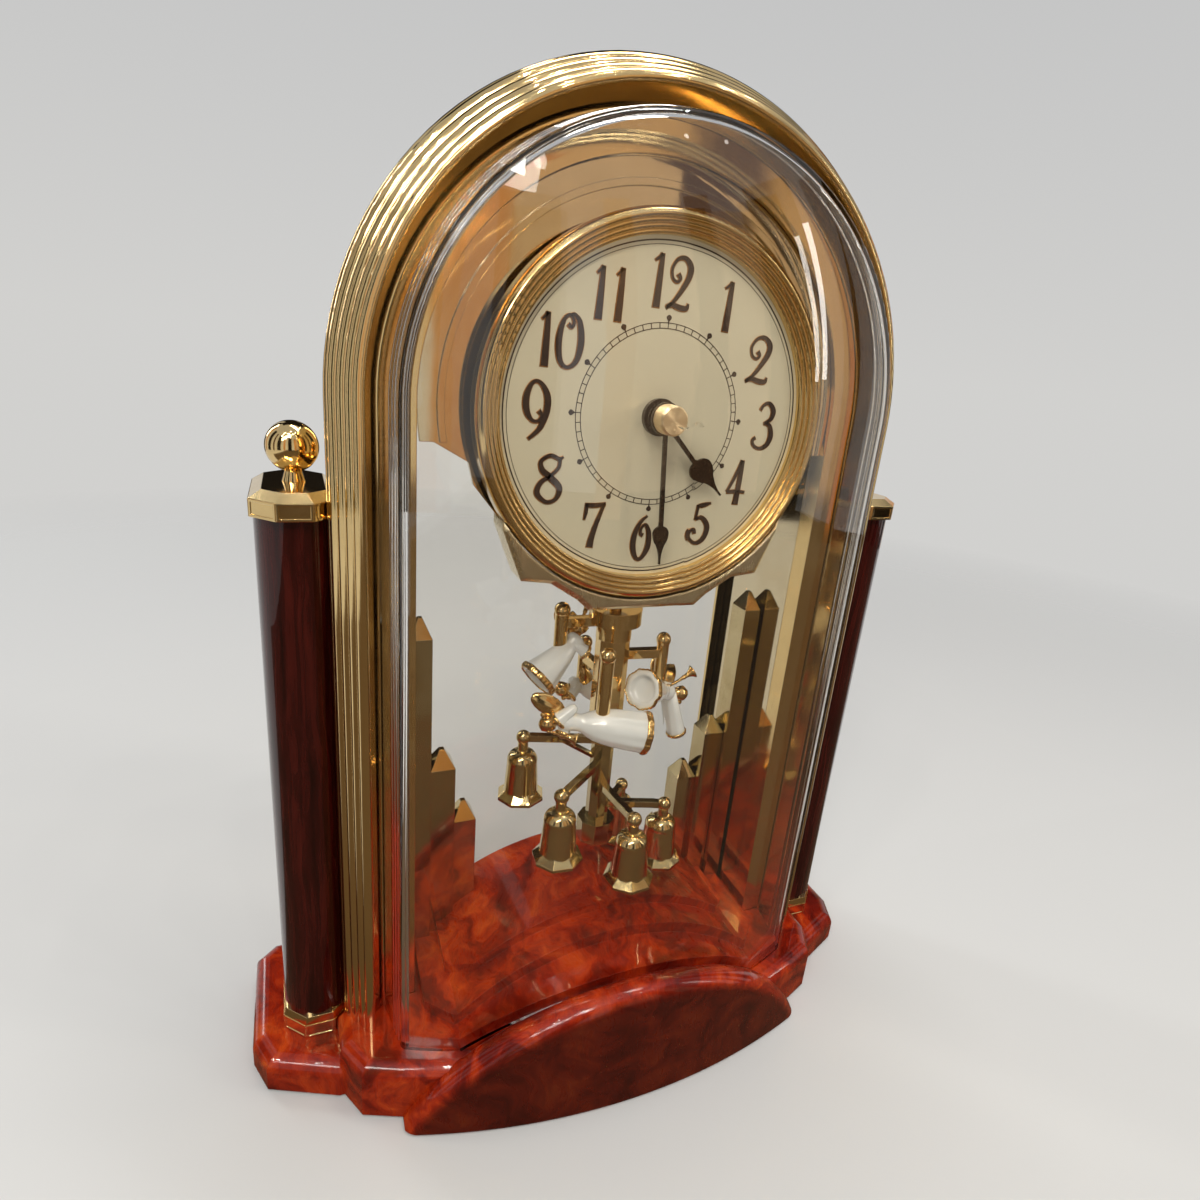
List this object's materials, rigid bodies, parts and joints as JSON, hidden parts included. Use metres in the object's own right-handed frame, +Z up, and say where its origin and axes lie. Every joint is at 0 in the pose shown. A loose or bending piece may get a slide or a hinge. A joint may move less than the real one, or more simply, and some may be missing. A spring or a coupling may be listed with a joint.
{
  "type": "beehive shelf clock",
  "caption": "Arched shelf clock with a ribbed gold case, clear bowed cover, side columns, a dial with numerals, and a turning pendulum of flying angels and bells.",
  "frame": {"origin": "middle of the footprint, on the surface that the feet stand on", "axes": "+Z up, +X to the right seen from the front, +Y towards the back"},
  "size_m": [0.2274, 0.09, 0.2988],
  "materials": {
    "burl_lacquer": "deep red-brown burl under high-gloss lacquer",
    "column_lacquer": "dark mahogany high gloss",
    "gold": "polished gold plate",
    "pale_gold": "pale mirror gold",
    "clear_plastic": "clear acrylic",
    "dial_ivory": "satin champagne ivory",
    "hand_brown": "dark brown with a gold sheen",
    "white_enamel": "glossy white",
    "black_plastic": "matt black",
    "grey_plastic": "matt grey",
    "steel": "plain steel",
    "copper": "wound copper wire",
    "board_green": "green circuit board",
    "foot_rubber": "matt rubber"
  },
  "bodies": {
    "case": {"base_shell": "burl_lacquer", "base_bottom_plate": "black_plastic", "base_feet": "foot_rubber", "base_screws": "steel", "bow_panel": "burl_lacquer", "stage_floor": "burl_lacquer", "column_left": "column_lacquer", "column_right": "column_lacquer", "column_foot_left": "gold", "column_foot_right": "gold", "column_capital_left": "gold", "column_capital_right": "gold", "finial_left": "gold", "finial_right": "gold", "tie_rods": "steel", "arch_frame": "gold", "inner_liner": "pale_gold", "back_ring": "gold", "front_cover": "clear_plastic", "back_panel": "clear_plastic", "door_pins": "steel", "dial_plate": "dial_ivory", "dial_housing": "gold", "dial_bezel": "gold", "dial_surround": "pale_gold", "dial_bracket": "pale_gold", "dial_nut": "hand_brown", "pipes_left": "pale_gold", "pipes_right": "pale_gold", "movement_case": "black_plastic", "movement_cover": "black_plastic", "movement_screws": "steel", "battery": "grey_plastic", "battery_contacts": "steel", "drive_coil": "copper", "circuit_board": "board_green", "drive_housing": "gold", "pendulum_bearing": "steel", "drive_motor": "steel"},
    "minutes": {"minute_arbor": "steel", "minute_hand": "hand_brown", "hand_cap": "gold"},
    "hours": {"hour_wheel": "grey_plastic", "hour_hand": "hand_brown"},
    "setting": {"setting_wheel": "grey_plastic", "set_knob": "grey_plastic"},
    "rear_door": {"access_door": "clear_plastic"},
    "pendulum": {"pendulum_gear": "grey_plastic", "pendulum_spindle": "gold", "pendulum_hub": "gold", "pendulum_shaft": "gold", "angel_arms": "gold", "gown_left": "white_enamel", "gown_front": "white_enamel", "gown_right": "white_enamel", "gown_back": "white_enamel", "angel_gilding": "gold", "bell_arms": "gold", "bells": "gold"},
    "motor_rotor": {"motor_pinion": "grey_plastic"}
  },
  "joints": [
    {"name": "minute_spin", "type": "hinge", "parent": "case", "child": "minutes", "pos_m": [0, -0.009, 0.213], "axis": [0, 1, 0], "continuous": true},
    {"name": "hour_spin", "type": "hinge", "parent": "case", "child": "hours", "pos_m": [0, -0.009, 0.213], "axis": [0, 1, 0], "continuous": true},
    {"name": "setting_spin", "type": "hinge", "parent": "case", "child": "setting", "pos_m": [0.00655, 0.01, 0.21759], "axis": [0, 1, 0], "continuous": true},
    {"name": "door_hinge", "type": "hinge", "parent": "case", "child": "rear_door", "pos_m": [-0.031, 0.0438, 0.213], "axis": [0, 0, 1], "range_deg": [0, 110]},
    {"name": "pendulum_spin", "type": "hinge", "parent": "case", "child": "pendulum", "pos_m": [0, 0.0062, 0.15], "axis": [0, 0, 1], "continuous": true},
    {"name": "motor_spin", "type": "hinge", "parent": "case", "child": "motor_rotor", "pos_m": [0.0075, 0.0062, 0.165], "axis": [0, 0, 1], "continuous": true}
  ],
  "couplings": [
    {"joint": "hour_spin", "follows": "minute_spin", "ratio": 0.083333},
    {"joint": "setting_spin", "follows": "minute_spin", "ratio": -0.33333},
    {"joint": "motor_spin", "follows": "pendulum_spin", "ratio": -2}
  ]
}
